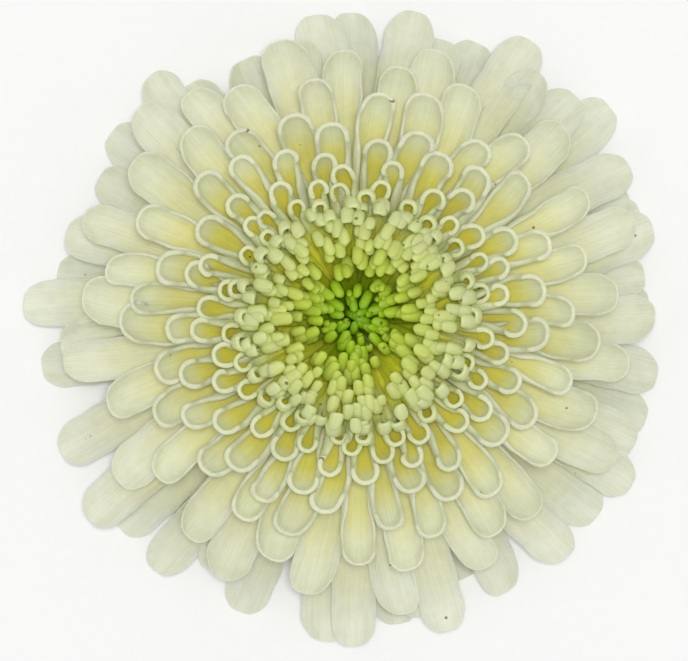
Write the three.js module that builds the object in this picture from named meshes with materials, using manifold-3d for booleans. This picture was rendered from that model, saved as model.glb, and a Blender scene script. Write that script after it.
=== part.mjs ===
// A white disbud chrysanthemum bloom, cut just below its head and resting face up.
// Millimetres, +Z up. Z = 0 is the surface that the cut stem and the lowest petals rest on.
// From the bottom up: the cut stem, the green involucre, the white ray florets on the
// receptacle's rim, the cream quilled florets on its shoulder and the green florets on its crown.
import * as THREE from "three";
import { mergeVertices } from "three/addons/utils/BufferGeometryUtils.js";
import Module from "manifold-3d";

const wasm = await Module();
wasm.setup();

// Driving dimensions
const DOME_BASE = 3; // height of the dome of tips at the rim
const DOME_HEIGHT = 44; // rise of that dome from the rim to the middle
const DOME_RADIUS = 61; // where the dome of tips meets its base
const DOME_POWER = 0.8; // under 1 the dome is flatter on top than an ellipsoid's square
const RECEPTACLE_Z = 20; // height of the receptacle's widest section
const RECEPTACLE_RADIUS = 15;
const RECEPTACLE_RISE = 10; // from the widest section to the crown
const HEART_RADIUS = 20.5; // the crowded bases of the florets, taken as one solid heart
const HEART_RISE = 15;
const HEART_FOOT = 17.2;
const HEART_SIDES = 18;
const STEM_RADIUS = 3.4;
const STEM_TOP = 7.7;
const INVOLUCRE_TOP = 16.9;
const CUP_RADIUS = 14.2;
const SEAT_GAP = 0.3; // between pieces that rest on each other

// The rim, counter-clockwise from +X seen from above: direction in degrees, and reach in mm
const RIM_TIPS = [
  [2, 55.8], [9.5, 55.2], [15, 58.4], [20, 57.6], [26, 56.5], [31, 58.8], [38.5, 62.7],
  [46, 59], [58, 61.6], [65, 57], [73, 55], [79.5, 58.6], [88, 57.8], [95, 57.6],
  [105, 53], [113, 53.3], [124, 54], [133, 59.5], [142, 58], [150, 55], [161, 56.5],
  [169.5, 57], [175.5, 62.6], [183, 55.5], [190, 60], [202, 61], [215, 62.7], [221, 59.7],
  [233, 60.7], [241, 54.5], [249, 59.7], [262, 61.2], [270, 61.6], [276, 58.5],
  [282, 57.6], [287.5, 61.4], [295, 53.5], [302, 59], [309, 60], [320, 59.3], [330, 61],
  [336, 57.6], [342, 58.4], [350.5, 58],
];
const RIM_LAYERS = 3; // petals of the rim lie in this many layers, one above the other
const RIM_LAYER_STEP = 3.3;
const RIM_LOWEST_TIP = 1.6;
const RIM_WIDTH = 8.6;

// Ray and quilled florets, numbered inwards along one spiral of the golden angle
const GOLDEN_ANGLE = 137.508;
const RAY_COUNT = 104;
const QUILL_COUNT = 172;
const SPIRAL_START = 57; // reach of the first floret inside the rim
const SPIRAL_SHRINK = 0.0068; // share by which each next floret reaches less
const CROWDED_FROM = 130; // from this floret of the spiral on they stand closer
const CROWDED_SHRINK = 0.0053;
const CENTRE_COUNT = 70;
const CENTRE_REACH = 9.6;
const CENTRE_TOP = 42.6;
const CENTRE_RISE = 1.6; // the green florets stand this much higher at their edge

// Where each kind of floret roots, as angles from the receptacle's crown
const RIM_ROOT = { first: 101, step: -5 };
const RAY_ROOT = { first: 86, last: 62 };
const QUILL_ROOT = { first: 46, last: 26 };
const CENTRE_ROOT = 21;
const ROOT_SINK = 1.2; // a floret starts this far inside the receptacle

// The lines between the kinds, a little apart
const RAY_BORDER = { root: 60.3, reach: 30.6 };
const QUILL_FLOOR = { root: 57, reach: 28.7 };
const QUILL_BORDER = { root: 24.6, reach: 11.0 };
const CENTRE_FLOOR = { root: 22.4, reach: 10.4 };

// How a floret changes with how far out its tip lies
const SHAPES = {
  reach: [10, 14, 18, 22, 26, 32, 40, 48, 57],
  width: [1.9, 2.1, 2.5, 3.2, 4.1, 4.9, 5.9, 7.2, 8.6],
  fold: [58, 58, 58, 58, 56, 54, 52, 50, 46], // degrees from the keel to a petal's edge
  lean: [0, 8, 20, 36, 52, 62, 71, 80, 93], // degrees from the vertical at the limb's end
  hood: [92, 98, 100, 88, 78, 76, 74, 64, 44], // degrees from the limb's end to the tip
  hoodLength: [2.7, 2.7, 2.5, 1.7, 1.2, 1.1, 1.05, 0.95, 0.8], // in widths of the floret
  curl: [0.75, 0.75, 0.85, 1, 1.1, 1.2, 1.2, 1.3, 1.4], // over 1 the tip turns most
};
const SWAY = 4; // degrees that a tip may turn aside

// Sections of the florets and bracts, as shares of their length
const BLADE = [
  { share: 0.38, breadth: 0.6, thickness: 1.6 },
  { share: 0.74, breadth: 1, thickness: 0.9 },
  { share: 0.93, breadth: 0.68, thickness: 0.9 },
];
const QUILL = [
  { share: 0.66, breadth: 0.95 },
  { share: 0.9, breadth: 0.85 },
];
const BUD = [{ share: 0.8, breadth: 1 }];
const BRACT_WHORLS = [
  { count: 10, from: 0.12, to: 0.62, width: 4.6 },
  { count: 13, from: 0.36, to: 0.85, width: 4.9 },
  { count: 16, from: 0.6, to: 1.0, width: 4.9 },
];

const radians = THREE.MathUtils.degToRad;
const lerp = THREE.MathUtils.lerp;
const clamp = THREE.MathUtils.clamp;

// A repeatable number from 0 to 1 for floret i and purpose k.
function chance(i, k) {
  const x = Math.sin(i * 127.1 + k * 311.7) * 43758.5453;
  return x - Math.floor(x);
}

// The same, from -1 to 1.
const spread = (i, k) => 2 * chance(i, k) - 1;

// Height of the dome that the floret tips lie on, at a distance from the axis.
function domeHeight(reach) {
  const share = clamp(1 - (reach / DOME_RADIUS) ** 2, 0, 1);
  return DOME_BASE + DOME_HEIGHT * share ** DOME_POWER;
}

// A point of the receptacle's surface at an angle from its crown, and the direction out of it.
function receptaclePoint(angle) {
  const s = Math.sin(radians(angle));
  const c = Math.cos(radians(angle));
  const out = new THREE.Vector2(s / RECEPTACLE_RADIUS, c / RECEPTACLE_RISE).normalize();
  return { point: new THREE.Vector2(RECEPTACLE_RADIUS * s, RECEPTACLE_Z + RECEPTACLE_RISE * c), out };
}

// What depends on how far out a floret's tip lies, read off the table of shapes.
function shapeAt(reach) {
  const { reach: reaches, ...values } = SHAPES;
  const last = reaches.length - 1;
  const x = clamp(reach, reaches[0], reaches[last]);
  const i = Math.min(reaches.filter((r) => r <= x).length, last);
  const share = (x - reaches[i - 1]) / (reaches[i] - reaches[i - 1]);
  const read = ([key, row]) => [key, lerp(row[i - 1], row[i], share)];
  return Object.fromEntries(Object.entries(values).map(read));
}

// How far out floret j of the spiral ends.
function spiralReach(j) {
  const crowded = Math.max(j - CROWDED_FROM, 0);
  return SPIRAL_START * Math.exp(-SPIRAL_SHRINK * (j - crowded) - CROWDED_SHRINK * crowded);
}

function rimFloret(k) {
  const [direction, reach] = RIM_TIPS[k];
  const layer = k % RIM_LAYERS;
  const shape = shapeAt(reach);
  return {
    ...shape,
    direction,
    reach,
    width: RIM_WIDTH + 0.7 * spread(k, 1),
    height: RIM_LOWEST_TIP + RIM_LAYER_STEP * layer,
    root: RIM_ROOT.first + RIM_ROOT.step * layer,
    lean: 108 - 5 * layer,
    roll: 12 * spread(k, 2),
    sweep: 3 * spread(k, 3),
  };
}

function spiralFloret(j) {
  const reach = spiralReach(j) * (1 + 0.03 * spread(j, 11));
  const shape = shapeAt(reach);
  const isRay = j < RAY_COUNT;
  const band = isRay ? RAY_ROOT : QUILL_ROOT;
  const share = isRay ? j / (RAY_COUNT - 1) : (j - RAY_COUNT) / (QUILL_COUNT - 1);
  const crown = lerp(Math.cos(radians(band.first)), Math.cos(radians(band.last)), share);
  return {
    ...shape,
    direction: j * GOLDEN_ANGLE + 2.6 * spread(j, 12),
    reach,
    width: shape.width * (1 + 0.16 * spread(j, 16)),
    lean: shape.lean + 7 * spread(j, 17),
    hood: shape.hood * (1 + 0.1 * spread(j, 18)),
    hoodLength: shape.hoodLength * (1 + 0.1 * spread(j, 19)),
    height: domeHeight(reach) + spread(j, 13),
    root: THREE.MathUtils.radToDeg(Math.acos(crown)),
    roll: 18 * spread(j, 14),
    sweep: SWAY * spread(j, 15),
  };
}

function centreFloret(k) {
  const share = Math.sqrt((k + 0.5) / CENTRE_COUNT);
  return {
    direction: k * GOLDEN_ANGLE + 60 + lerp(30, 4, share) * spread(k, 24),
    reach: CENTRE_REACH * share - 2.4 * (1 - share),
    height: CENTRE_TOP + CENTRE_RISE * share ** 2 + 0.5 * spread(k, 21),
    root: CENTRE_ROOT * share,
    width: lerp(1.5, 1.8, share) + 0.15 * spread(k, 25),
    lean: lerp(-25, 6, share) + 8 * spread(k, 26),
    hood: 90 + 14 * spread(k, 22),
    hoodLength: 2.8 + 0.5 * spread(k, 28),
    curl: 0.75,
    roll: 25 * spread(k, 23),
    sweep: 7 * spread(k, 27),
  };
}

// The keel line of a floret in the plane through the axis: a cubic from the receptacle to where
// the hood begins, and then the hood, which turns towards the axis.
function keelOf(f) {
  const { point: start, out } = receptaclePoint(f.root);
  const hoodLength = f.hoodLength * f.width;
  const steps = 8;
  const turn = (share) => radians(f.lean - f.hood * share ** f.curl);
  const bend = [new THREE.Vector2()];
  for (let i = 0; i < steps; i++) {
    const angle = turn((i + 0.5) / steps);
    const step = new THREE.Vector2(Math.sin(angle), Math.cos(angle));
    bend.push(bend[i].clone().addScaledVector(step, hoodLength / steps));
  }
  const tip = new THREE.Vector2(f.reach, f.height);
  const hoodStart = tip.clone().sub(bend[steps]);
  const lean = radians(f.lean);
  const pull = start.distanceTo(hoodStart);
  const leave = new THREE.Vector2(Math.sin(lean), Math.cos(lean));
  const limb = new THREE.CubicBezierCurve(
    start.clone().addScaledVector(out, -ROOT_SINK),
    start.clone().addScaledVector(out, 0.4 * pull),
    hoodStart.clone().addScaledVector(leave, -0.32 * pull),
    hoodStart,
  );
  const points = limb.getPoints(24);
  for (let i = 1; i <= steps; i++) points.push(hoodStart.clone().add(bend[i]));
  return points;
}

// The keel at a share of the floret's length, with the directions along it, across it and
// towards the face that looks at the axis.
function sectionFrame(f, keel, share) {
  const lengths = [0];
  for (let i = 1; i < keel.length; i++) lengths.push(lengths[i - 1] + keel[i].distanceTo(keel[i - 1]));
  const wanted = share * lengths[lengths.length - 1];
  let i = 1;
  while (i < keel.length - 1 && lengths[i] < wanted) i++;
  const t = (wanted - lengths[i - 1]) / (lengths[i] - lengths[i - 1]);
  const flat = keel[i - 1].clone().lerp(keel[i], t);
  const run = keel[i].clone().sub(keel[i - 1]).normalize();
  const turn = radians(f.direction + f.sweep * share ** 2);
  const radial = new THREE.Vector3(Math.cos(turn), Math.sin(turn), 0);
  const up = new THREE.Vector3(0, 0, 1);
  const along = radial.clone().multiplyScalar(run.x).addScaledVector(up, run.y);
  const face = radial.clone().multiplyScalar(-run.y).addScaledVector(up, run.x);
  const across = new THREE.Vector3().crossVectors(along, face);
  const roll = new THREE.Quaternion().setFromAxisAngle(along, radians(f.roll * share));
  return {
    keel: radial.clone().multiplyScalar(flat.x).addScaledVector(up, flat.y),
    across: across.applyQuaternion(roll),
    face: face.applyQuaternion(roll),
  };
}

// A closed mesh from a root point through rings of equally many points to a tip point.
// The rings count clockwise as seen from the tip.
function loft(root, rings, tip) {
  const sides = rings[0].length;
  const points = [root, ...rings.flat(), tip];
  const index = [];
  for (let i = 0; i < sides; i++) {
    const next = (i + 1) % sides;
    index.push(0, 1 + i, 1 + next);
    for (let ring = 0; ring < rings.length - 1; ring++) {
      const low = 1 + ring * sides;
      const high = low + sides;
      index.push(high + next, low + next, low + i);
      index.push(high + i, high + next, low + i);
    }
    const last = points.length - 1 - sides;
    index.push(points.length - 1, last + next, last + i);
  }
  const geometry = new THREE.BufferGeometry().setFromPoints(points);
  geometry.setIndex(index);
  return geometry;
}

// A floret as a keeled blade that opens towards the axis: four points round each section.
function bladeGeometry(f) {
  const keel = keelOf(f);
  const fold = radians(f.fold);
  const rings = BLADE.map(({ share, breadth, thickness }) => {
    const { keel: k, across, face } = sectionFrame(f, keel, share);
    const half = (f.width / 2) * breadth;
    const rise = half * Math.tan(fold / 2);
    return [
      k.clone().addScaledVector(face, -thickness / 2),
      k.clone().addScaledVector(across, half).addScaledVector(face, rise),
      k.clone().addScaledVector(face, thickness / 2),
      k.clone().addScaledVector(across, -half).addScaledVector(face, rise),
    ];
  });
  const tip = sectionFrame(f, keel, 1);
  return loft(sectionFrame(f, keel, 0).keel, rings, tip.keel.addScaledVector(tip.face, 0.15));
}

// A floret as a slim closed quill: three points round each section.
function quillGeometry(f, stations) {
  const keel = keelOf(f);
  const rings = stations.map(({ share, breadth }) => {
    const { keel: k, across, face } = sectionFrame(f, keel, share);
    const half = (f.width / 2) * breadth;
    return [
      k.clone().addScaledVector(face, -half * 0.9),
      k.clone().addScaledVector(across, half).addScaledVector(face, half * 0.5),
      k.clone().addScaledVector(across, -half).addScaledVector(face, half * 0.5),
    ];
  });
  return loft(sectionFrame(f, keel, 0).keel, rings, sectionFrame(f, keel, 1).keel);
}

function solidOf(geometry) {
  const bare = geometry.index ? geometry.toNonIndexed() : geometry.clone();
  bare.deleteAttribute("normal");
  bare.deleteAttribute("uv");
  const merged = mergeVertices(bare, 1e-4);
  return new wasm.Manifold(
    new wasm.Mesh({
      numProp: 3,
      vertProperties: merged.attributes.position.array,
      triVerts: new Uint32Array(merged.index.array),
    }),
  );
}

function geometryOf(solid) {
  const mesh = solid.getMesh();
  const geometry = new THREE.BufferGeometry();
  geometry.setAttribute("position", new THREE.BufferAttribute(mesh.vertProperties, 3));
  geometry.setIndex(new THREE.BufferAttribute(mesh.triVerts, 1));
  return geometry;
}

const fuse = (core, pieces) => pieces.reduce((all, piece) => all.add(solidOf(piece)), solidOf(core));

// The line between two kinds of floret, from the axis out to the heart's surface: the keel that
// a floret rooted between them would have.
function borderLine({ root, reach }) {
  const f = { ...shapeAt(reach), reach, height: domeHeight(reach), root };
  const inside = keelOf(f).filter(
    (p) => (p.x / HEART_RADIUS) ** 2 + ((p.y - RECEPTACLE_Z) / HEART_RISE) ** 2 < 1,
  );
  const last = inside.length - 1;
  return [new THREE.Vector2(0, inside[0].y), inside[0], inside[Math.round(last / 2)], inside[last]];
}

// The heart's surface between two points that lie near it.
function heartArc(from, to) {
  const angleOf = (p) => Math.atan2(p.x / HEART_RADIUS, (p.y - RECEPTACLE_Z) / HEART_RISE);
  const rows = 3;
  return range(rows).map((i) => {
    const angle = lerp(angleOf(from), angleOf(to), (i + 0.5) / rows);
    return new THREE.Vector2(
      HEART_RADIUS * Math.sin(angle),
      RECEPTACLE_Z + HEART_RISE * Math.cos(angle),
    );
  });
}

// The part of the heart between two borders. With no upper border it reaches the crown.
function heartSlice(lower, upper) {
  const crown = new THREE.Vector2(0, RECEPTACLE_Z + HEART_RISE);
  const end = upper ? upper[upper.length - 1] : crown;
  const arc = heartArc(lower[lower.length - 1], end);
  return turned([...lower, ...arc, ...(upper ? [...upper].reverse() : [crown])], HEART_SIDES);
}

// A LatheGeometry turned up from three's Y axis to Z.
function turned(profile, sides) {
  const geometry = new THREE.LatheGeometry(profile, sides);
  geometry.rotateX(Math.PI / 2);
  return geometry;
}

const range = (count) => Array.from({ length: count }, (_, i) => i);

function rayFlorets() {
  const rim = range(RIM_TIPS.length).map((k) => bladeGeometry(rimFloret(k)));
  const rays = range(RAY_COUNT).map((j) => bladeGeometry(spiralFloret(j)));
  const foot = [
    new THREE.Vector2(0, HEART_FOOT),
    new THREE.Vector2(RECEPTACLE_RADIUS, HEART_FOOT),
    new THREE.Vector2(HEART_RADIUS - 0.6, RECEPTACLE_Z),
  ];
  return fuse(heartSlice(foot, borderLine(RAY_BORDER)), [...rim, ...rays]);
}

function quillFlorets() {
  const quills = range(QUILL_COUNT).map((j) => quillGeometry(spiralFloret(RAY_COUNT + j), QUILL));
  return fuse(heartSlice(borderLine(QUILL_FLOOR), borderLine(QUILL_BORDER)), quills);
}

function centreFlorets() {
  const buds = range(CENTRE_COUNT).map((k) => quillGeometry(centreFloret(k), BUD));
  return fuse(heartSlice(borderLine(CENTRE_FLOOR), null), buds);
}

// A point of the cup's wall, from its foot at 0 to its mouth at 1, and the direction out of it.
function cupPoint(share) {
  const angle = radians(8 + 80 * share);
  const s = Math.sin(angle);
  const c = Math.cos(angle);
  const height = INVOLUCRE_TOP - STEM_TOP - SEAT_GAP;
  const point = new THREE.Vector2(CUP_RADIUS * s, INVOLUCRE_TOP - height * c);
  const out = new THREE.Vector2(s / CUP_RADIUS, -c / height).normalize();
  return { point, out };
}

function bractGeometry(direction, { from, to, width }) {
  const turn = radians(direction);
  const radial = new THREE.Vector3(Math.cos(turn), Math.sin(turn), 0);
  const across = new THREE.Vector3(-Math.sin(turn), Math.cos(turn), 0);
  const up = new THREE.Vector3(0, 0, 1);
  const at = (share, lift) => {
    const { point, out } = cupPoint(share);
    const p = point.clone().addScaledVector(out, lift);
    return radial.clone().multiplyScalar(p.x).addScaledVector(up, p.y);
  };
  const half = width / 2;
  const middle = lerp(from, to, 0.55);
  const ring = [
    at(middle, 0.8),
    at(middle, -0.25).addScaledVector(across, -half),
    at(middle, -0.25).addScaledVector(across, half),
  ];
  return loft(at(from, -0.2), [ring], at(to, 0.45));
}

// The involucre: a solid cup clad in whorls of pointed bracts.
function involucre() {
  const wall = range(6).map((i) => cupPoint(i / 5).point);
  const profile = [new THREE.Vector2(0, wall[0].y), ...wall, new THREE.Vector2(0, wall[5].y)];
  const bracts = BRACT_WHORLS.flatMap((whorl, w) =>
    range(whorl.count).map((i) => bractGeometry(((i + 0.5 * (w % 2)) * 360) / whorl.count, whorl)),
  );
  return fuse(turned(profile, 20), bracts);
}

// The cut stem: a ribbed rod, square across at the cut.
function stem() {
  const ribs = 8;
  const outline = new THREE.Shape(
    range(2 * ribs).map((i) => {
      const radius = STEM_RADIUS - (i % 2 ? 0.35 : 0);
      const angle = (i * Math.PI) / ribs;
      return new THREE.Vector2(radius * Math.cos(angle), radius * Math.sin(angle));
    }),
  );
  return new THREE.ExtrudeGeometry(outline, { depth: STEM_TOP, bevelEnabled: false });
}

function piece(name, geometry, color, roughness) {
  const material = new THREE.MeshStandardMaterial({ color, roughness, metalness: 0 });
  const mesh = new THREE.Mesh(geometry, material);
  mesh.name = name;
  return mesh;
}

const bloom = new THREE.Group();
bloom.add(
  piece("stem", stem(), 0x7d9a55, 0.6),
  piece("involucre", geometryOf(involucre()), 0x6f8f48, 0.6),
  piece("ray_florets", geometryOf(rayFlorets()), 0xe6e8d6, 0.55),
  piece("quill_florets", geometryOf(quillFlorets()), 0xd5dc98, 0.55),
  piece("centre_florets", geometryOf(centreFlorets()), 0x86a51f, 0.55),
);

// The part's origin is under the middle of its outline, on the surface that it rests on.
const outline = new THREE.Box3().setFromObject(bloom, true);
const middle = outline.getCenter(new THREE.Vector3());
bloom.position.set(-middle.x, -middle.y, 0);

export default bloom;
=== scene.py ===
"""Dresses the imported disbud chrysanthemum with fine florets, bracts and a cut stem.

Lengths are in millimetres on the bloom's own axis, and make_piece() turns them into the row's
frame in metres. The rules that place a floret follow those of the solids. The inner quills are
scattered more loosely, and the florets are slimmer and less hooded. The low quills between the
others and the thinnest florets of the middle are only here.
"""

import math

import bpy
import numpy as np
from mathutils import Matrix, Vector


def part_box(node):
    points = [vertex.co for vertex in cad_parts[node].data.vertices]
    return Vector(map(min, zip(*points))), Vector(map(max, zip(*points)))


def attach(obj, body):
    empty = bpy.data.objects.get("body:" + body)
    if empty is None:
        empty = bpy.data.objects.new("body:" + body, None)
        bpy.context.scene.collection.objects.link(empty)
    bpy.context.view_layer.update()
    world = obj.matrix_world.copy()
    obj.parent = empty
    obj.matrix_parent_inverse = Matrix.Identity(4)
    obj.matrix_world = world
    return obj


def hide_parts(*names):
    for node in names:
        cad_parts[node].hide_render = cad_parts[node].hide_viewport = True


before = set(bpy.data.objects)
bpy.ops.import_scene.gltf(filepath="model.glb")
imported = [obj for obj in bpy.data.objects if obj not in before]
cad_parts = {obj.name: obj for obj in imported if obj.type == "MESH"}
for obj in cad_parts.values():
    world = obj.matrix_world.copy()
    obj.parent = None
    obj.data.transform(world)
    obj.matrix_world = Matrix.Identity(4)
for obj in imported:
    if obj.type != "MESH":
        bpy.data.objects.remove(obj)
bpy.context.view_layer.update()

# Driving dimensions that the solids share
DOME_BASE = 3
DOME_HEIGHT = 44
DOME_RADIUS = 61
DOME_POWER = 0.8
RECEPTACLE_Z = 20
RECEPTACLE_RADIUS = 15
RECEPTACLE_RISE = 10
STEM_RADIUS = 3.4
STEM_TOP = 7.7
INVOLUCRE_TOP = 16.9
SEAT_GAP = 0.3
CUP_RADIUS = 14.2
# Each whorl's count of bracts, where on the cup they start and end, and their width
BRACT_WHORLS = [(10, 0.12, 0.62, 4.6), (13, 0.36, 0.85, 4.9), (16, 0.6, 1.0, 4.9)]

# The direction in degrees and the reach in mm of each petal of the rim
RIM_TIPS = [
    (2, 55.8), (9.5, 55.2), (15, 58.4), (20, 57.6), (26, 56.5), (31, 58.8), (38.5, 62.7),
    (46, 59), (58, 61.6), (65, 57), (73, 55), (79.5, 58.6), (88, 57.8), (95, 57.6),
    (105, 53), (113, 53.3), (124, 54), (133, 59.5), (142, 58), (150, 55), (161, 56.5),
    (169.5, 57), (175.5, 62.6), (183, 55.5), (190, 60), (202, 61), (215, 62.7), (221, 59.7),
    (233, 60.7), (241, 54.5), (249, 59.7), (262, 61.2), (270, 61.6), (276, 58.5),
    (282, 57.6), (287.5, 61.4), (295, 53.5), (302, 59), (309, 60), (320, 59.3), (330, 61),
    (336, 57.6), (342, 58.4), (350.5, 58),
]
RIM_LAYERS = 3
RIM_LAYER_STEP = 3.3
RIM_LOWEST_TIP = 1.6
RIM_WIDTH = 8.6
GOLDEN_ANGLE = 137.508
RAY_COUNT = 104
QUILL_COUNT = 172
SPIRAL_START = 57
SPIRAL_SHRINK = 0.0068
CROWDED_FROM = 130
CROWDED_SHRINK = 0.0053
CENTRE_COUNT = 70
CENTRE_REACH = 9.6
CENTRE_TOP = 42.6
CENTRE_RISE = 1.6
RIM_ROOT_FIRST, RIM_ROOT_STEP = 101, -5
RAY_ROOT = (86, 62)
QUILL_ROOT = (46, 26)
CENTRE_ROOT = 21
ROOT_SINK = 1.2

# Florets that only this model has: low quills between the others, and thin ones in the middle
FILLER_COUNT = 90
FILLER_START = 200  # degrees that their spiral starts at
FILLER_REACH = (6.2, 19.5)
FILLER_ROOT = (24, 42)
FILLER_SINK = 0.6
SPROUT_COUNT = 34
SPROUT_SHARE = 0.72  # of the centre's radius that they fill
SPROUT_RISE = 0.3
LOOSE_WITHIN = 22  # mm from the axis within which the spiral's scatter grows
LOOSE_OVER = 8


def chance(i, k):
    """A repeatable number from 0 to 1 for part i and purpose k."""
    x = math.sin(i * 127.1 + k * 311.7) * 43758.5453
    return x - math.floor(x)


def spread(i, k):
    """A repeatable number from -1 to 1 for part i and purpose k."""
    return 2 * chance(i, k) - 1


def lerp(a, b, t):
    return a + (b - a) * t


def clamp(x, low, high):
    return max(low, min(high, x))


def smooth(x):
    t = np.clip(x, 0, 1)
    return t * t * (3 - 2 * t)


def dome_height(reach):
    """How high the dome stands, that far from the axis."""
    return DOME_BASE + DOME_HEIGHT * clamp(1 - (reach / DOME_RADIUS) ** 2, 0, 1) ** DOME_POWER


# How a floret's tip changes with how far out it lies
REACHES = (10, 14, 18, 22, 26, 32, 40, 48, 57)
WIDTHS = (1.5, 1.65, 1.9, 2.5, 3.4, 4.3, 5.5, 7.0, 8.6)
LEANS = (0, 8, 20, 36, 52, 62, 71, 80, 93)  # degrees from the vertical at the limb's end
HOOD_TURNS = (92, 98, 100, 76, 50, 38, 36, 38, 36)  # degrees from the limb's end to the tip
HOOD_LENGTHS = (2.7, 2.7, 2.5, 1.7, 1.2, 1.1, 1.05, 0.95, 0.8)  # in widths of the floret
HOOD_CURLS = (0.75, 0.75, 0.85, 1.0, 1.1, 1.2, 1.2, 1.3, 1.4)  # over 1 the tip turns most
SWAY = 4  # degrees that a tip may turn aside


def shape_at(reach):
    """What depends on how far out a floret's tip lies."""
    table = lambda values: float(np.interp(reach, REACHES, values))
    return dict(
        width=table(WIDTHS),
        lean=table(LEANS),
        hood=table(HOOD_TURNS),
        hood_length=table(HOOD_LENGTHS),
        curl=table(HOOD_CURLS),
    )


def spiral_reach(j):
    """How far out floret j of the spiral ends, which is crowded from CROWDED_FROM on."""
    shrink = SPIRAL_SHRINK * min(j, CROWDED_FROM) + CROWDED_SHRINK * max(j - CROWDED_FROM, 0)
    return SPIRAL_START * math.exp(-shrink)


def rim_floret(k):
    """One of the outermost petals, which turn down towards the surface."""
    direction, reach = RIM_TIPS[k]
    layer = k % RIM_LAYERS
    return dict(
        shape_at(reach),
        seed=k,
        direction=direction,
        reach=reach,
        width=RIM_WIDTH + 0.7 * spread(k, 1),
        height=RIM_LOWEST_TIP + RIM_LAYER_STEP * layer,
        root=RIM_ROOT_FIRST + RIM_ROOT_STEP * layer,
        lean=108 - 5 * layer,
        roll=12 * spread(k, 2),
        sweep=3 * spread(k, 3),
    )


def spiral_floret(j):
    """Floret j of the golden-angle spiral, which runs from the rim's rays to the inner quills."""
    reach = spiral_reach(j) * (1 + 0.03 * spread(j, 11))
    if j < RAY_COUNT:
        band, share = RAY_ROOT, j / (RAY_COUNT - 1)
    else:
        band, share = QUILL_ROOT, (j - RAY_COUNT) / (QUILL_COUNT - 1)
    crown = lerp(math.cos(math.radians(band[0])), math.cos(math.radians(band[1])), share)
    shape = shape_at(reach)
    loose = smooth((LOOSE_WITHIN - reach) / LOOSE_OVER)
    return dict(
        shape,
        seed=100 + j,
        direction=j * GOLDEN_ANGLE + (2.6 + 3.4 * loose) * spread(j, 12),
        reach=reach,
        width=shape["width"] * (1 + (0.16 + 0.08 * loose) * spread(j, 16)),
        lean=shape["lean"] + (7 + 6 * loose) * spread(j, 17),
        hood=shape["hood"] * (1 + 0.1 * spread(j, 18)),
        hood_length=shape["hood_length"] * (1 + 0.1 * spread(j, 19)),
        height=dome_height(reach) + spread(j, 13),
        root=math.degrees(math.acos(crown)),
        roll=18 * spread(j, 14),
        sweep=SWAY * spread(j, 15),
    )


def filler_floret(k):
    """One of the lower quilled florets, which show in the gaps between the others."""
    share = ((k + 0.5) / FILLER_COUNT) ** 0.8
    reach = lerp(*FILLER_REACH, share) + 0.5 * spread(k, 38)
    shape = shape_at(reach)
    return dict(
        shape,
        seed=600 + k,
        direction=k * GOLDEN_ANGLE + FILLER_START + 14 * spread(k, 39),
        reach=reach,
        width=shape["width"] * (0.96 + 0.16 * spread(k, 40)),
        lean=shape["lean"] + 10 * spread(k, 41),
        height=dome_height(reach) - FILLER_SINK + 0.9 * spread(k, 42),
        root=lerp(*FILLER_ROOT, share),
        roll=25 * spread(k, 43),
        sweep=6 * spread(k, 44),
    )


def centre_floret(k):
    """One of the green buds of the middle."""
    share = math.sqrt((k + 0.5) / CENTRE_COUNT)
    return dict(
        seed=400 + k,
        direction=k * GOLDEN_ANGLE + 60 + lerp(120, 12, share) * spread(k, 24),
        reach=CENTRE_REACH * share - 2.4 * (1 - share),
        height=CENTRE_TOP + CENTRE_RISE * share**2 + 0.5 * spread(k, 21),
        root=CENTRE_ROOT * share,
        width=lerp(1.0, 1.75, share) + 0.2 * spread(k, 25),
        lean=lerp(-25, 6, share) + 12 * spread(k, 26),
        hood=90 + 14 * spread(k, 22),
        hood_length=2.8 + 0.5 * spread(k, 28),
        curl=0.75,
        roll=25 * spread(k, 23),
        sweep=7 * spread(k, 27),
    )


def sprout_floret(k):
    """One of the thinnest florets, which crowd between the buds of the middle."""
    share = SPROUT_SHARE * math.sqrt((k + 0.5) / SPROUT_COUNT)
    return dict(
        seed=500 + k,
        direction=k * GOLDEN_ANGLE + 70 * spread(k, 29),
        reach=CENTRE_REACH * share - 1.2 * (1 - share),
        height=CENTRE_TOP + CENTRE_RISE * share**2 + SPROUT_RISE + 0.6 * spread(k, 30),
        root=CENTRE_ROOT * share,
        width=0.9 + 0.2 * spread(k, 31),
        lean=15 * spread(k, 32),
        hood=70 + 20 * spread(k, 35),
        hood_length=2.4,
        curl=0.75,
        roll=40 * spread(k, 36),
        sweep=12 * spread(k, 37),
    )


def receptacle_point(angle):
    """A point of the receptacle's dome, angle degrees from its crown, and its outward way."""
    s, c = math.sin(math.radians(angle)), math.cos(math.radians(angle))
    out = np.array([s / RECEPTACLE_RADIUS, c / RECEPTACLE_RISE])
    point = np.array([RECEPTACLE_RADIUS * s, RECEPTACLE_Z + RECEPTACLE_RISE * c])
    return point, out / np.linalg.norm(out)


HOOD_STEPS = 24
LIMB_STEPS = 40


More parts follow.
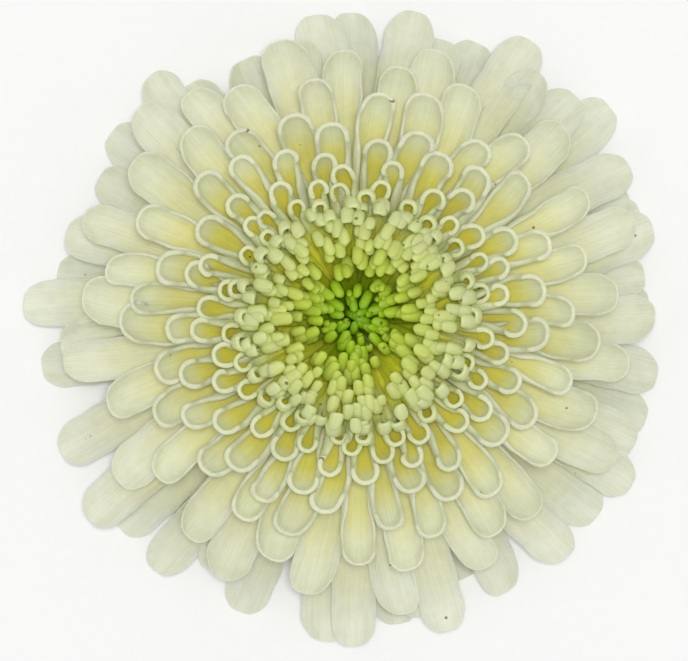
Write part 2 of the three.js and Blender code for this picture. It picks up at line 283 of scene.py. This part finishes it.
def keel_of(f):
    """The middle line of a floret's back in the plane through the axis, from root to tip."""
    start, out = receptacle_point(f["root"])
    hood_length = f["hood_length"] * f["width"]
    shares = (np.arange(HOOD_STEPS) + 0.5) / HOOD_STEPS
    angles = np.radians(f["lean"] - f["hood"] * shares ** f["curl"])
    steps = np.stack([np.sin(angles), np.cos(angles)], 1) * hood_length / HOOD_STEPS
    bend = np.cumsum(steps, 0)
    hood_start = np.array([f["reach"], f["height"]]) - bend[-1]
    lean = math.radians(f["lean"])
    pull = np.linalg.norm(start - hood_start)
    a = start - ROOT_SINK * out
    b = start + 0.4 * pull * out
    c = hood_start - 0.32 * pull * np.array([math.sin(lean), math.cos(lean)])
    t = np.linspace(0, 1, LIMB_STEPS + 1)[:, None]
    limb = a * (1 - t) ** 3 + 3 * b * t * (1 - t) ** 2 + 3 * c * t**2 * (1 - t) + hood_start * t**3
    return np.vstack([limb, hood_start + bend])


# Fine floret meshes
STATIONS = 34  # sections along a large floret
SMALL_QUILL_STATIONS = 24
FILLER_STATIONS = 22
CENTRE_STATIONS = 20
ACROSS = 13  # points across a petal, on each side of it
ROUNDING = 4  # points round each of its edges
FORM_REACHES = (5, 10, 16, 22, 30, 38, 47, 57)
TIP_CROWDING = 2.1  # over 1 the sections stand closer together towards the tip
KEEL_STEP = 0.05  # mm on each side of a section that the keel's direction is read from
FULL_WIDTH_AT = 0.75  # share of a floret's length at which it reaches its full width
LOPSIDED = 0.06  # the most by which one side of a floret is folded further than the other
GROOVES = 3  # half waves of the grooves across the face
BEND_LIMIT = 0.36  # the most that a half thickness may be, of the radius of the fold


def form_of(f):
    """The finer form of a floret, by how far out it lies: mm, degrees and shares of 1."""
    table = lambda values: float(np.interp(f["reach"], FORM_REACHES, values))
    seed = f["seed"]
    return dict(
        # Behind the hood the blade closes into a tube over this length
        gape=table([0.2, 0.4, 1.0, 5.0, 17.0, 38.0, 60.0, 90.0]) * (1 + 0.15 * spread(seed, 31)),
        # Half of the angle that a section is folded by: at the tip, in the mouth, behind, in the tube
        fold_tip=table([140, 135, 128, 128, 106, 86, 68, 52]),
        fold_side=table([150, 148, 146, 142, 128, 108, 84, 56]),
        fold_mid=table([160, 160, 158, 157, 154, 146, 130, 102]) * (1 + 0.05 * spread(seed, 32)),
        tube_fold=table([175, 175, 175, 170, 158, 146, 130, 110]),
        mouth=table([1, 1, 1, 0.85, 1.0, 1.2, 1.2, 1]),  # how much longer the mouth is than usual
        flat=table([1, 1, 1, 0.85, 0.62, 0.52, 0.48, 0.48]),  # height of a section, of a round one's
        # The toe: its length in widths, how much of the radius and of the fold is left at its end
        tip=table([0.8, 0.75, 0.65, 0.5, 0.5, 0.5, 0.55, 0.6]),
        blunt=table([0, 0, 0.25, 0.75, 0.9, 0.9, 0.8, 0.5]),
        cut=table([1, 1, 1, 0.75, 0.5, 0.45, 0.45, 0.6]),
        root=table([0.85, 0.85, 0.85, 0.72, 0.56, 0.5, 0.45, 0.42]),  # width at the root, of the full
        # Half thicknesses of the blade and of its margin, and the length over which they change
        thick=table([0.2, 0.22, 0.24, 0.27, 0.28, 0.26, 0.22, 0.16]),
        edge=table([0.2, 0.24, 0.30, 0.40, 0.48, 0.46, 0.26, 0.08]),
        lip=table([0.6, 0.7, 1.0, 1.4, 1.8, 2.0, 2.0, 1.6]),
        # The pale band inside the margin, and the length over which it fades
        band=table([0, 0, 0.15, 0.4, 0.6, 0.75, 0.8, 0.6]),
        rim=table([0.5, 0.6, 0.8, 0.9, 1.1, 1.6, 2.6, 3.6]),
        # Ripples of the width, and grooves along the face
        ripple=table([0.02, 0.06, 0.08, 0.06, 0.03, 0.02, 0.02, 0.02]),
        wave=table([1.5, 1.5, 1.5, 1.3, 1.0, 0.9, 0.9, 0.9]),
        groove=table([0.0, 0.04, 0.06, 0.07, 0.06, 0.06, 0.1, 0.14]),
    )


def section_loop():
    """Round a section: where across it a point lies, on which face, and how far past its edge."""
    v = np.linspace(-1, 1, ACROSS)
    u = np.sign(v) * np.abs(v) ** 0.85
    beta = np.radians(np.linspace(-90, 90, ROUNDING + 2)[1:-1])
    one = np.ones(ROUNDING)
    return (
        np.concatenate([u, one, u[::-1], -one]),
        np.concatenate([-np.ones(ACROSS), np.sin(beta), np.ones(ACROSS), -np.sin(beta)]),
        np.concatenate([np.zeros(ACROSS), np.cos(beta), np.zeros(ACROSS), -np.cos(beta)]),
    )


def section_frames(f, stations):
    """Where a floret's sections lie on its keel, and which ways its width and its face point."""
    keel = keel_of(f)
    lengths = np.concatenate([[0], np.cumsum(np.linalg.norm(np.diff(keel, axis=0), axis=1))])
    share = 1 - (1 - np.linspace(0, 1, stations + 1)[:-1]) ** TIP_CROWDING
    at = share * lengths[-1]
    place = lambda along: np.stack([np.interp(along, lengths, keel[:, i]) for i in (0, 1)], 1)
    run = place(at + KEEL_STEP) - place(at - KEEL_STEP)
    run /= np.linalg.norm(run, axis=1)[:, None]

    turn = np.radians(f["direction"] + f["sweep"] * share**2)
    radial = np.stack([np.cos(turn), np.sin(turn), np.zeros(stations)], 1)
    up = np.array([0, 0, 1.0])
    along = radial * run[:, :1] + up * run[:, 1:]
    face = radial * -run[:, 1:] + up * run[:, :1]
    across = np.cross(along, face)
    roll = np.radians(f["roll"] * share)[:, None]
    across, face = (
        across * np.cos(roll) + face * np.sin(roll),
        face * np.cos(roll) - across * np.sin(roll),
    )
    flat = place(at)
    base = radial * flat[:, :1] + up * flat[:, 1:]
    return share, at, lengths[-1], base, across, face


def folds_of(f, form, share, from_tip):
    """The radius, half angle and flatness of each section, how much tube it is, and its outline."""
    hood = f["hood_length"] * f["width"]
    throat = smooth((from_tip - hood - 0.5 * form["gape"]) / (0.5 * form["gape"]))
    fold = lerp(form["fold_tip"], form["fold_side"], smooth(from_tip / hood))
    mouth = form["mouth"]
    closed = smooth((from_tip - 0.8 * mouth * hood) / (mouth * (1 + 0.9 * f["width"])))
    fold = lerp(fold, form["fold_mid"], closed)
    fold = np.radians(lerp(fold, form["tube_fold"], throat))

    closing = np.clip(1 - from_tip / (form["tip"] * f["width"]), 0, 1)
    rounding = np.sqrt(1 - closing**2)
    outline = lerp(form["blunt"], 1, rounding)
    ripple = 1 + form["ripple"] * np.sin(from_tip * form["wave"] + 6.28 * chance(f["seed"], 33))
    narrow = lerp(form["root"], 1.0, smooth(share / FULL_WIDTH_AT))
    half = f["width"] / 2 * outline * ripple * narrow
    radius = half / np.sin(np.minimum(fold, math.pi / 2))
    fold = fold * lerp(form["cut"], 1, rounding)
    flatness = lerp(1, form["flat"], smooth(from_tip / hood))
    return radius[:, None], fold[:, None], flatness[:, None], throat[:, None], outline[:, None]


def floret_faces(stations, n):
    """The faces of a tube of sections of n points, with a point at its root and a closed tip."""
    ring = np.arange(n)
    nxt = (ring + 1) % n
    quads = [
        np.stack([i * n + ring, i * n + nxt, (i + 1) * n + nxt, (i + 1) * n + ring], 1)
        for i in range(stations - 1)
    ]
    last = (stations - 1) * n
    front_edge = 2 * ACROSS + ROUNDING - 1
    back = last + np.arange(ACROSS)
    front = last + front_edge - np.arange(ACROSS)
    quads.append(np.stack([back[:-1], back[1:], front[1:], front[:-1]], 1))
    ends = [
        [last + ACROSS - 1 + i for i in range(ROUNDING + 2)],
        [last + (front_edge + i) % n for i in range(ROUNDING + 2)],
    ]
    root = np.stack([nxt, ring, np.full(n, stations * n)], 1)
    return np.concatenate(quads).tolist() + ends + root.tolist()


def floret_mesh(f, stations=STATIONS):
    """A closed, thin-walled floret that is folded about its keel, and what its material reads."""
    form = form_of(f)
    share, at, length, base, across, face = section_frames(f, stations)
    from_tip = length - at
    radius, fold, flatness, throat, outline = folds_of(f, form, share, from_tip)
    from_tip = from_tip[:, None]

    u, side, past = section_loop()
    theta = fold * (u * (1 + LOPSIDED * spread(f["seed"], 34) * np.sign(u)))[None, :]
    s, c = np.sin(theta), np.cos(theta)
    from_edge = radius * fold * (1 - np.abs(u))[None, :]
    from_rim = np.minimum(from_edge, from_tip)
    edge = lerp(form["edge"], 0.6 * form["thick"], throat)
    h = lerp(edge, form["thick"], smooth(from_rim / form["lip"]))
    h = np.minimum(h, BEND_LIMIT * radius)
    h = h * np.sqrt(1 - np.clip(1 - from_tip / h, 0, 1) ** 2)
    groove = form["groove"] * (0.5 - 0.5 * np.cos(GROOVES * math.pi * u))[None, :] * outline
    lift = h * side[None, :] - groove
    pa = radius * s - s * lift + c * h * past[None, :]
    pf = flatness * (radius * (1 - c)) + c * lift + s * h * past[None, :]
    points = base[:, None, :] + across[:, None, :] * pa[:, :, None] + face[:, None, :] * pf[:, :, None]
    verts = np.vstack([points.reshape(-1, 3), base[:1]])

    def spot(values, at_root):
        return np.concatenate([values.reshape(-1), [at_root]])

    whole = np.ones((stations, len(u)))
    inward = np.clip(0.5 + 0.5 * side, 0, 1)[None, :]
    from_band = np.minimum(from_edge + 9 * throat, from_tip) - form["band"]
    own = np.full(len(verts), 7.3 * f["seed"])
    return dict(
        verts=verts,
        faces=floret_faces(stations, len(u)),
        ring=np.full(len(verts), f["reach"]),
        from_tip=spot(from_tip * whole, length),
        inside=spot(inward * smooth(from_band / form["rim"]), 0),
        # edge marks the rounded margins, which the material darkens as painted shade
        edge=spot(past[None, :] ** 2 * whole, 0),
        grain=np.stack([spot(radius * theta, 0), spot(at[:, None] * whole, 0), own], 1),
    )


def lathe_mesh(profile, sides, ribs=0, rib_depth=0.0):
    """Turns a profile of (radius, height) points; its first and last points lie on the axis."""
    angles = np.arange(sides) * 2 * math.pi / sides
    profile = np.array(profile, dtype=float)
    inner = profile[1:-1]
    radii = inner[:, :1] - rib_depth * (0.5 - 0.5 * np.cos(ribs * angles))[None, :]
    rows = np.stack(
        [radii * np.cos(angles), radii * np.sin(angles), inner[:, 1:] + 0 * radii], 2
    ).reshape(-1, 3)
    ends = np.array([[0, 0, profile[0, 1]], [0, 0, profile[-1, 1]]])
    around = np.arange(sides)
    nxt = (around + 1) % sides
    faces = [[len(rows), int(b), int(a)] for a, b in zip(around, nxt)]
    for i in range(len(inner) - 1):
        a, b = i * sides, (i + 1) * sides
        faces += np.stack([a + around, a + nxt, b + nxt, b + around], 1).tolist()
    top = (len(inner) - 1) * sides
    faces += [[int(top + a), int(top + b), len(rows) + 1] for a, b in zip(around, nxt)]
    return dict(verts=np.vstack([rows, ends]), faces=faces)


def cup_point(share):
    """A point of the involucre's wall, from its foot at 0 to its mouth at 1, and its outward way."""
    angle = math.radians(8 + 80 * share)
    height = INVOLUCRE_TOP - STEM_TOP - SEAT_GAP
    point = np.array([CUP_RADIUS * math.sin(angle), INVOLUCRE_TOP - height * math.cos(angle)])
    out = np.array([math.sin(angle) / CUP_RADIUS, -math.cos(angle) / height])
    return point, out / np.linalg.norm(out)


BRACT_STATIONS = 18
BRACT_ACROSS = 9
BRACT_KEEL = 0.25  # how far the keel stands out of the bract's back
BRACT_THICKNESS = 0.28


def bract_mesh(whorl, i):
    """A pointed bract that hugs the cup, keeled, with thin papery margins."""
    count, start, end, width = BRACT_WHORLS[whorl]
    seed = 40 * whorl + i
    direction = math.radians((i + 0.5 * (whorl % 2)) * 360 / count + 3 * spread(seed, 41))
    end = end + 0.02 * spread(seed, 42)
    width = width * (1 + 0.08 * spread(seed, 43))
    stations, across = BRACT_STATIONS, BRACT_ACROSS
    t = np.linspace(0, 1, stations)
    u = np.linspace(-1, 1, across)
    half = width / 2 * np.sin(np.pi * np.clip(0.16 + 0.84 * t, 0, 1) ** 1.25) ** 0.75
    verts, share_up, from_keel = [], [], []
    for side in (1, -1):
        for k, share in enumerate(t):
            point, out = cup_point(lerp(start, end, share))
            for x in u:
                keel = BRACT_KEEL * math.exp(-((x / 0.16) ** 2))
                lift = 0.35 + 0.55 * share - 0.55 * x * x + keel
                thick = BRACT_THICKNESS * (1 - 0.75 * x * x) * (1 - 0.6 * share)
                r, z = point + out * (lift + side * thick)
                aside = half[k] * x
                r_kept = math.sqrt(max(r * r - aside * aside, 0.01))
                c, s = math.cos(direction), math.sin(direction)
                verts.append([r_kept * c - aside * s, r_kept * s + aside * c, z])
                share_up.append(share)
                from_keel.append(abs(x))
    layer = stations * across
    faces = []
    for k in range(stations - 1):
        for x in range(across - 1):
            a = k * across + x
            quad = [a, a + 1, a + across + 1, a + across]
            faces.append(quad)
            faces.append([layer + i for i in reversed(quad)])
    loop = list(range(across - 1))
    loop += [k * across + across - 1 for k in range(stations - 1)]
    loop += [(stations - 1) * across + k for k in range(across - 1, 0, -1)]
    loop += [k * across for k in range(stations - 1, 0, -1)]
    for a, b in zip(loop, loop[1:] + loop[:1]):
        faces.append([b, a, layer + a, layer + b])
    return dict(
        verts=np.array(verts),
        faces=faces,
        from_tip=1 - np.array(share_up),
        inside=np.array(from_keel),
        grain=np.stack(
            [
                np.concatenate([np.tile(u, stations)] * 2) * width / 2,
                np.array(share_up) * 8,
                np.full(2 * layer, 3.1 * seed),
            ],
            1,
        ),
    )


# Pieces, and the nodes that they stand for
stem_low, stem_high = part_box("stem")
AXIS = np.array([(stem_low[i] + stem_high[i]) / 2 for i in (0, 1)] + [0.0])


def make_piece(name, parts, material, node):
    """Joins meshes into one object in the row's frame, which stands for a node of the solids."""
    verts, faces = [], []
    start = 0
    for part in parts:
        verts.append(part["verts"])
        faces += [[start + i for i in face] for face in part["faces"]]
        start += len(part["verts"])
    mesh = bpy.data.meshes.new(name)
    mesh.from_pydata((np.vstack(verts) / 1000 + AXIS).tolist(), [], faces)
    for key in ("ring", "from_tip", "inside", "edge"):
        if key in parts[0]:
            values = np.concatenate([part[key] for part in parts]).astype(np.float32)
            mesh.attributes.new(key, "FLOAT", "POINT").data.foreach_set("value", values)
    if "grain" in parts[0]:
        values = np.vstack([part["grain"] for part in parts]).astype(np.float32).ravel()
        mesh.attributes.new("grain", "FLOAT_VECTOR", "POINT").data.foreach_set("vector", values)
    mesh.shade_smooth()
    mesh.update()
    mesh.materials.append(material)
    piece = bpy.data.objects.new(name, mesh)
    bpy.context.scene.collection.objects.link(piece)
    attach(piece, "root")
    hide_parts(node)


class Nodes:
    """A short way to write a material's nodes."""

    def __init__(self, name):
        self.material = bpy.data.materials.new(name)
        self.material.use_nodes = True
        self.tree = self.material.node_tree
        self.shader = self.tree.nodes["Principled BSDF"]

    def add(self, kind, inputs=(), **settings):
        node = self.tree.nodes.new("ShaderNode" + kind)
        for key, value in settings.items():
            setattr(node, key, value)
        for key, value in dict(inputs).items():
            self.put(node.inputs[key], value)
        return node

    def put(self, socket, value):
        if isinstance(value, bpy.types.NodeSocket):
            self.tree.links.new(value, socket)
        else:
            socket.default_value = value

    def attribute(self, name, output="Fac"):
        return self.add("Attribute", attribute_name=name).outputs[output]

    def math(self, operation, a, b=0.0):
        return self.add("Math", {0: a, 1: b}, operation=operation).outputs[0]

    def ranged(self, value, low, high, to_low=0.0, to_high=1.0, kind="SMOOTHSTEP"):
        inputs = {0: value, 1: low, 2: high, 3: to_low, 4: to_high}
        return self.add("MapRange", inputs, interpolation_type=kind).outputs[0]

    def ramp(self, value, stops):
        node = self.add("ValToRGB", {0: value})
        elements = node.color_ramp.elements
        while len(elements) < len(stops):
            elements.new(0.5)
        for element, (position, colour) in zip(elements, stops):
            element.position = position
            element.color = (*colour, 1)
        return node.outputs[0]

    def mix(self, share, a, b, blend="MIX"):
        node = self.add("Mix", data_type="RGBA", blend_type=blend, clamp_result=True)
        self.put(node.inputs[0], share)
        for socket, value in ((node.inputs[6], a), (node.inputs[7], b)):
            self.put(socket, value if isinstance(value, bpy.types.NodeSocket) else (*value, 1))
        return node.outputs[2]

    def noise(self, vector, scale, detail):
        inputs = {"Vector": vector, "Scale": scale, "Detail": detail}
        return self.add("TexNoise", inputs).outputs[0]

    def stretch(self, vector, scale):
        return self.add("Mapping", {"Vector": vector, "Scale": scale}).outputs[0]

    def shaded(self, colour, shade):
        """A colour times a grey."""
        grey = self.add("CombineColor", {0: shade, 1: shade, 2: shade}).outputs[0]
        return self.mix(1.0, colour, grey, "MULTIPLY")

    def set(self, **sockets):
        for key, value in sockets.items():
            self.put(self.shader.inputs[key.replace("_", " ")], value)


# A floret's colour at its tip, inside its mouth and at its foot, by how far out it lies in mm
TIP_COLOURS = [
    (0, (0.20, 0.42, 0.004)),
    (4, (0.36, 0.56, 0.013)),
    (8, (0.54, 0.65, 0.07)),
    (12, (0.62, 0.70, 0.19)),
    (18, (0.68, 0.74, 0.35)),
    (26, (0.73, 0.77, 0.48)),
    (36, (0.76, 0.79, 0.57)),
    (57, (0.78, 0.80, 0.64)),
]
MOUTH_COLOURS = [
    (0, (0.10, 0.28, 0.002)),
    (9, (0.66, 0.74, 0.01)),
    (20, (0.74, 0.67, 0.05)),
    (30, (0.74, 0.68, 0.12)),
    (38, (0.72, 0.67, 0.17)),
    (47, (0.76, 0.73, 0.34)),
    (57, (0.78, 0.78, 0.53)),
]
FOOT_COLOURS = [
    (0, (0.16, 0.34, 0.004)),
    (8, (0.34, 0.46, 0.006)),
    (12, (0.90, 0.92, 0.04)),
    (20, (0.95, 0.93, 0.10)),
    (40, (0.90, 0.88, 0.30)),
    (57, (0.86, 0.86, 0.46)),
]
SPECK_COLOUR = (0.10, 0.07, 0.015)
RING_SPAN = 60


def petal_material(name, sheen):
    """Petal tissue: pale at the tip, darker in the mouth and at the foot, veined, specked, with painted
    shade at its margins.
    """
    n = Nodes(name)
    ring = n.math("DIVIDE", n.attribute("ring"), RING_SPAN)
    from_tip = n.attribute("from_tip")
    inside = n.attribute("inside")
    grain = n.attribute("grain", "Vector")
    by_ring = lambda stops: n.ramp(ring, [(r / RING_SPAN, colour) for r, colour in stops])

    mouth_from = n.ranged(ring, 0.35, 0.85, 0.1, 2.0)
    mouth_to = n.ranged(ring, 0.35, 0.85, 3.0, 14.0)
    mouth = n.math("MULTIPLY", inside, n.ranged(from_tip, mouth_from, mouth_to))
    colour = n.mix(mouth, by_ring(TIP_COLOURS), by_ring(MOUTH_COLOURS))
    foot_from = n.ranged(ring, 0.15, 0.9, 3.5, 9.0)
    foot_to = n.ranged(ring, 0.15, 0.9, 9.0, 36.0)
    foot = n.ranged(from_tip, foot_from, foot_to)
    colour = n.mix(foot, colour, by_ring(FOOT_COLOURS))

    veins = n.noise(n.stretch(grain, (2.6, 0.10, 1.0)), 1.0, 2.0)
    mottle = n.noise(grain, 0.45, 3.0)
    blotches = n.ranged(mottle, 0.3, 0.7, -0.03, 0.03)
    shade = n.math("ADD", n.ranged(veins, 0.3, 0.7, 0.95, 1.02), blotches)
    number = n.add("SeparateXYZ", {0: grain}).outputs[2]
    own = n.add("TexWhiteNoise", {"W": number}, noise_dimensions="1D").outputs[0]
    shade = n.math("ADD", shade, n.ranged(own, 0.0, 1.0, -0.06, 0.04, "LINEAR"))
    # Painted shade: the rounded margins are darkened by up to 0.08, to dim the bright line that the
    # light draws along them
    shade = n.math("SUBTRACT", shade, n.math("MULTIPLY", n.attribute("edge"), 0.08))
    colour = n.shaded(colour, shade)

    specks = n.add("TexVoronoi", {"Vector": grain, "Scale": 0.32, "Randomness": 1.0})
    rarity = n.ranged(ring, 0.1, 0.5, 0.4, 0.9)
    cell = n.add("SeparateColor", {0: specks.outputs["Color"]}).outputs[0]
    rare = n.math("GREATER_THAN", cell, rarity)
    speck = n.math("MULTIPLY", rare, n.ranged(specks.outputs["Distance"], 0.07, 0.12, 1.0, 0.0))
    colour = n.mix(n.math("MULTIPLY", speck, 0.8), colour, SPECK_COLOUR)

    bump = n.add("Bump", {"Strength": 0.35, "Distance": 0.00012, "Height": veins})
    n.set(
        Base_Color=colour,
        Roughness=n.ranged(mottle, 0.3, 0.7, 0.48, 0.6),
        Specular_IOR_Level=0.35,
        Sheen_Weight=0.35,
        Sheen_Roughness=0.5,
        Sheen_Tint=sheen,
        Subsurface_Weight=0.4,
        Subsurface_Radius=(1.0, 0.95, 0.6),
        Subsurface_Scale=0.0015,
        Normal=bump.outputs[0],
    )
    return n.material


# The tint of each kind of petal's soft sheen
SHEENS = {
    "white_petal": (0.90, 0.88, 0.50, 1),
    "cream_petal": (0.75, 0.78, 0.10, 1),
    "green_petal": (0.15, 0.30, 0.01, 1),
}
petals = {slot: petal_material(slot, sheen) for slot, sheen in SHEENS.items()}

# The florets are split where a piece would otherwise hold too many triangles
RAY_SPLIT = 52
QUILL_SPLITS = (56, 114)

rim = [floret_mesh(rim_floret(k)) for k in range(len(RIM_TIPS))]
rays = [floret_mesh(spiral_floret(j)) for j in range(RAY_COUNT)]
quills = [
    floret_mesh(spiral_floret(RAY_COUNT + j), STATIONS if j < QUILL_SPLITS[0] else SMALL_QUILL_STATIONS)
    for j in range(QUILL_COUNT)
]
fillers = [floret_mesh(filler_floret(k), FILLER_STATIONS) for k in range(FILLER_COUNT)]
centre = [floret_mesh(centre_floret(k), CENTRE_STATIONS) for k in range(CENTRE_COUNT)]
centre += [floret_mesh(sprout_floret(k), CENTRE_STATIONS) for k in range(SPROUT_COUNT)]

for name, florets, slot, node in (
    ("rim_florets", rim, "white_petal", "ray_florets"),
    ("ray_florets_outer", rays[:RAY_SPLIT], "white_petal", "ray_florets"),
    ("ray_florets_inner", rays[RAY_SPLIT:], "white_petal", "ray_florets"),
    ("quill_florets_outer", quills[: QUILL_SPLITS[0]], "cream_petal", "quill_florets"),
    ("quill_florets_middle", quills[slice(*QUILL_SPLITS)], "cream_petal", "quill_florets"),
    ("quill_florets_inner", quills[QUILL_SPLITS[1] :], "cream_petal", "quill_florets"),
    ("quill_florets_between", fillers, "cream_petal", "quill_florets"),
    ("centre_florets_buds", centre, "green_petal", "centre_florets"),
):
    make_piece(name, florets, petals[slot], node)


def green_material(name, low, high, rib_scale):
    """Fresh green tissue, streaked along its length, as nodes that the caller may add to."""
    n = Nodes(name)
    grain = n.add("TexCoord").outputs["Object"]
    mottle = n.noise(n.stretch(grain, (260, 260, 90)), 1.0, 4.0)
    streaks = n.noise(n.stretch(grain, (rib_scale, rib_scale, 60)), 1.0, 2.0)
    colour = n.mix(n.ranged(mottle, 0.3, 0.7), low, high)
    colour = n.shaded(colour, n.ranged(streaks, 0.3, 0.7, 0.85, 1.1))
    bump = n.add("Bump", {"Strength": 0.4, "Distance": 0.0002, "Height": streaks})
    n.set(
        Base_Color=colour,
        Roughness=n.ranged(mottle, 0.3, 0.7, 0.45, 0.6),
        Specular_IOR_Level=0.4,
        Subsurface_Weight=0.3,
        Subsurface_Radius=(1.0, 0.9, 0.3),
        Subsurface_Scale=0.001,
        Normal=bump.outputs[0],
    )
    return n


def stem_material():
    """The stem's skin, and on its cut face a pale pith in a green ring."""
    n = green_material("stem_green", (0.16, 0.27, 0.06), (0.25, 0.38, 0.10), 1500)
    place = n.add("SeparateXYZ", {0: n.add("TexCoord").outputs["Object"]})
    x = n.math("SUBTRACT", place.outputs[0], float(AXIS[0]))
    y = n.math("SUBTRACT", place.outputs[1], float(AXIS[1]))
    out = n.math("SQRT", n.math("ADD", n.math("MULTIPLY", x, x), n.math("MULTIPLY", y, y)))
    on_cut = n.ranged(place.outputs[2], 0.00005, 0.0002, 1.0, 0.0)
    pith = n.ranged(out, 0.0019, 0.0023, 1.0, 0.0)
    face = n.mix(pith, (0.30, 0.42, 0.12), (0.72, 0.76, 0.50))
    skin = n.shader.inputs["Base Color"].links[0].from_socket
    n.set(Base_Color=n.mix(on_cut, skin, face))
    return n.material


def bract_material():
    """Green bracts with thin brownish papery margins and tips."""
    n = green_material("bract_green", (0.12, 0.22, 0.045), (0.19, 0.31, 0.07), 900)
    from_keel = n.attribute("inside")
    from_tip = n.attribute("from_tip")
    skin = n.shader.inputs["Base Color"].links[0].from_socket
    at_tip = n.ranged(from_tip, 0.0, 0.12, 1.0, 0.0)
    papery = n.math("MAXIMUM", n.ranged(from_keel, 0.68, 0.95), at_tip)
    n.set(Base_Color=n.mix(n.math("MULTIPLY", papery, 0.75), skin, (0.42, 0.38, 0.18)))
    return n.material


def receptacle_material():
    """The pale green cushion that the florets root in."""
    return green_material("receptacle_green", (0.42, 0.50, 0.16), (0.55, 0.62, 0.24), 700).material


STEM_SIDES, STEM_RIBS, STEM_RIB_DEPTH = 96, 8, 0.35
STEM_TENON = 0.4  # how far the stem runs on into the cup
CUP_SIDES = 72
CUP_STEPS = 16
CUSHION_FOOT = 16.5
CUSHION_FOOT_RADIUS = 13.2
CUSHION_CROWN = 30

stem_profile = [
    (0, 0),
    (3.0, 0),
    (3.32, 0.12),
    (STEM_RADIUS, 0.4),
    (STEM_RADIUS, 6.2),
    (3.9, 7.2),
    (4.4, STEM_TOP + STEM_TENON),
    (0, STEM_TOP + STEM_TENON),
]
stem = lathe_mesh(stem_profile, STEM_SIDES, STEM_RIBS, STEM_RIB_DEPTH)
make_piece("stem_cut", [stem], stem_material(), "stem")

cup_wall = [tuple(cup_point(i / CUP_STEPS)[0]) for i in range(CUP_STEPS + 1)]
cup = lathe_mesh([(0, cup_wall[0][1]), *cup_wall, (0, INVOLUCRE_TOP)], CUP_SIDES)
bracts = [bract_mesh(w, i) for w, whorl in enumerate(BRACT_WHORLS) for i in range(whorl[0])]
bract_green = bract_material()
make_piece("involucre_cup", [cup], bract_green, "involucre")
make_piece("involucre_bracts", bracts, bract_green, "involucre")

cushion_side = [
    (0, CUSHION_FOOT),
    (CUSHION_FOOT_RADIUS, CUSHION_FOOT),
    (RECEPTACLE_RADIUS, RECEPTACLE_Z),
    *[receptacle_point(angle)[0] for angle in range(85, 0, -6)],
    (0, CUSHION_CROWN),
]
cushion = lathe_mesh(cushion_side, CUP_SIDES)
make_piece("receptacle", [cushion], receptacle_material(), "involucre")


# Stage and camera
MM_PER_PIXEL = 0.189
AXIS_PIXEL = (355, 318)  # where the photograph shows the bloom's axis
FRAME_SIZE = (688, 661)
RIM_PLANE = 0.003  # the height at which a pixel is as wide as that
LENS, SENSOR = 200, 36
FLOOR_Z = -0.0002  # just under the cut face of the stem
FLOOR_REACH = 3
FLOOR_WHITE = 0.99
KEY_PLACE = (0.02, 0.03, 1.15)
KEY_TARGET = (0, 0, 0.02)
KEY_SIZE = 0.16
KEY_POWER = 6.6
SKY_STRENGTH = 0.47

floor_mesh = bpy.data.meshes.new("floor")
floor_corners = ((-1, -1), (1, -1), (1, 1), (-1, 1))
floor_mesh.from_pydata(
    [(FLOOR_REACH * x, FLOOR_REACH * y, FLOOR_Z) for x, y in floor_corners], [], [(0, 1, 2, 3)]
)
floor = bpy.data.objects.new("floor", floor_mesh)
bpy.context.scene.collection.objects.link(floor)
paper = Nodes("floor_paper")
paper.set(Base_Color=(*[FLOOR_WHITE] * 3, 1), Roughness=0.9, Specular_IOR_Level=0.1)
floor_mesh.materials.append(paper.material)

camera_data = bpy.data.cameras.new("camera")
camera_data.lens = LENS
camera_data.sensor_width = SENSOR
camera_data.clip_end = 20
camera = bpy.data.objects.new("camera", camera_data)
bpy.context.scene.collection.objects.link(camera)
distance = FRAME_SIZE[0] * MM_PER_PIXEL / 1000 * LENS / SENSOR
camera.location = (
    AXIS[0] + (FRAME_SIZE[0] / 2 - AXIS_PIXEL[0]) * MM_PER_PIXEL / 1000,
    AXIS[1] - (FRAME_SIZE[1] / 2 - AXIS_PIXEL[1]) * MM_PER_PIXEL / 1000,
    RIM_PLANE + distance,
)
bpy.context.scene.camera = camera


# One soft light from above, and an even white sky
key_data = bpy.data.lights.new("key", "AREA")
key_data.size = KEY_SIZE
key_data.energy = KEY_POWER
key = bpy.data.objects.new("key", key_data)
key.location = KEY_PLACE
away = np.array(KEY_PLACE) - np.array(KEY_TARGET)
yaw = math.atan2(away[1], away[0]) + math.pi / 2
tilt = math.atan2(math.hypot(away[0], away[1]), away[2])
key.rotation_euler = (tilt, 0, yaw)
bpy.context.scene.collection.objects.link(key)

world = bpy.data.worlds.new("world")
world.use_nodes = True
sky = world.node_tree.nodes["Background"].inputs
sky["Color"].default_value = (1, 1, 1, 1)
sky["Strength"].default_value = SKY_STRENGTH
bpy.context.scene.world = world
bpy.context.scene.view_settings.view_transform = "Standard"
